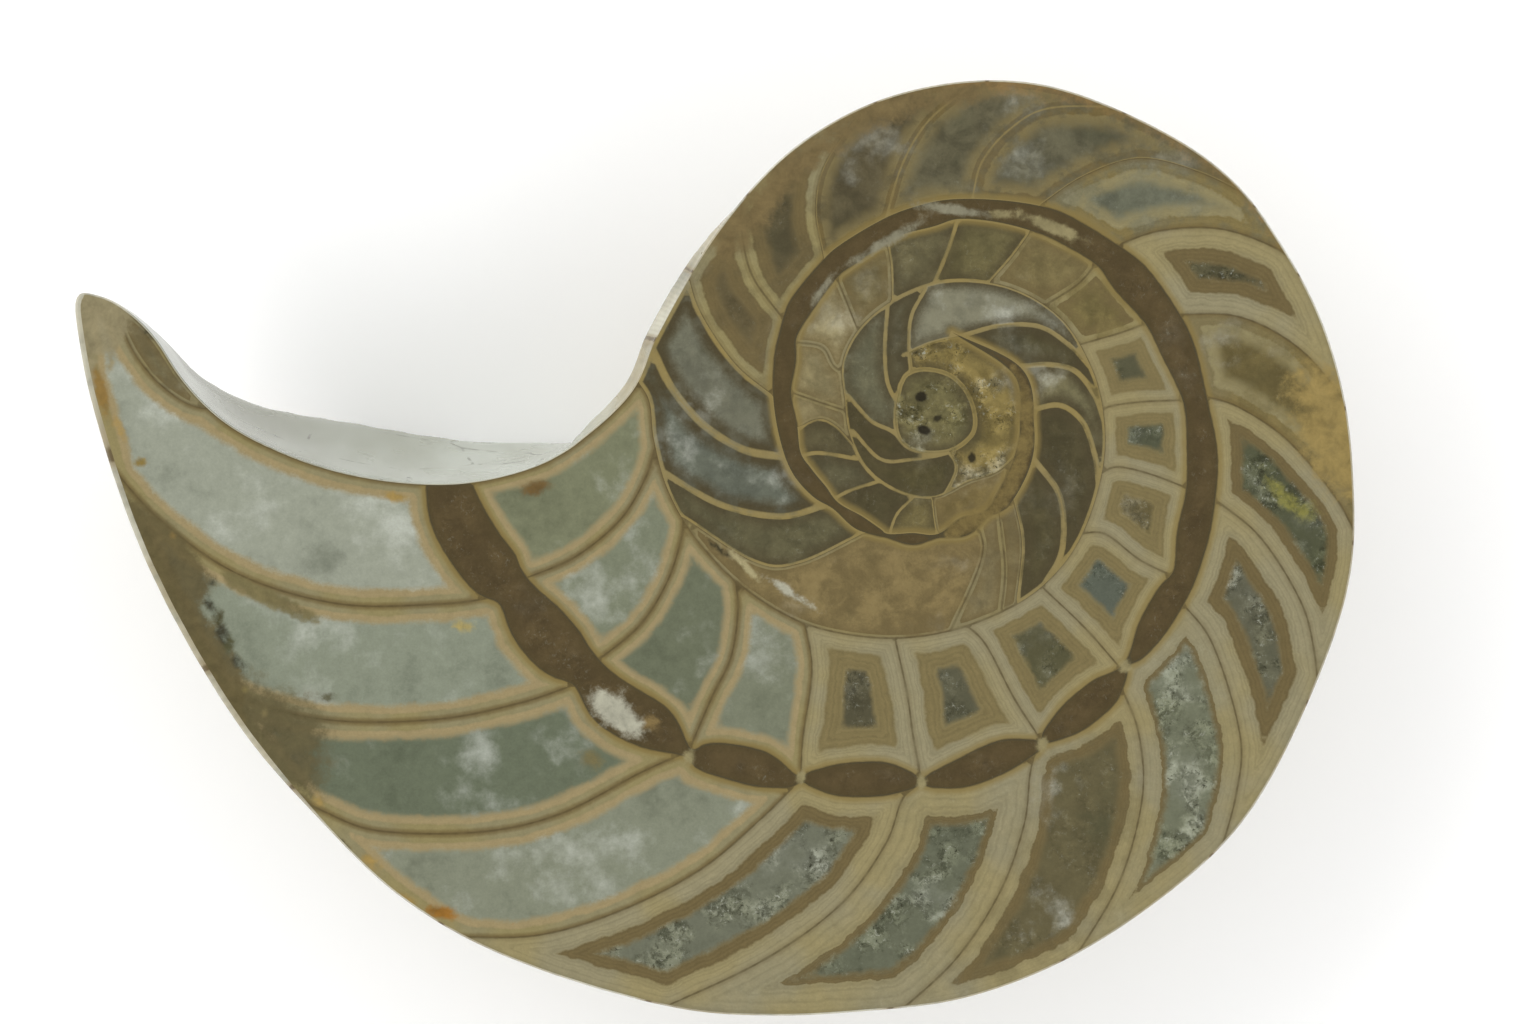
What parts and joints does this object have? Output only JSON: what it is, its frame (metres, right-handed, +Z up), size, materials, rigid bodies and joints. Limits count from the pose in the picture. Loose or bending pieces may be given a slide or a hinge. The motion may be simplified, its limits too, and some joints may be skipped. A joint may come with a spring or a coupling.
{
  "type": "fossil nautilus shell half",
  "caption": "Sawn and polished half of a fossil nautilus, cut face up, showing its chambers, septa and siphuncle, with a smooth hollow at the last septum.",
  "frame": {"origin": "middle of the base: centre of the bounding box in X and Y, on the surface that the fossil rests on", "axes": "+Z up out of the polished cut face, +X along the length from the tip of the last whorl to the coil, +Y towards the top of the coil"},
  "size_m": [0.1154, 0.0844, 0.025],
  "materials": {
    "fossil": "polished calcite, tan and grey-green, brown septa"
  },
  "bodies": {
    "root": {"shell_half": "fossil"}
  },
  "joints": []
}
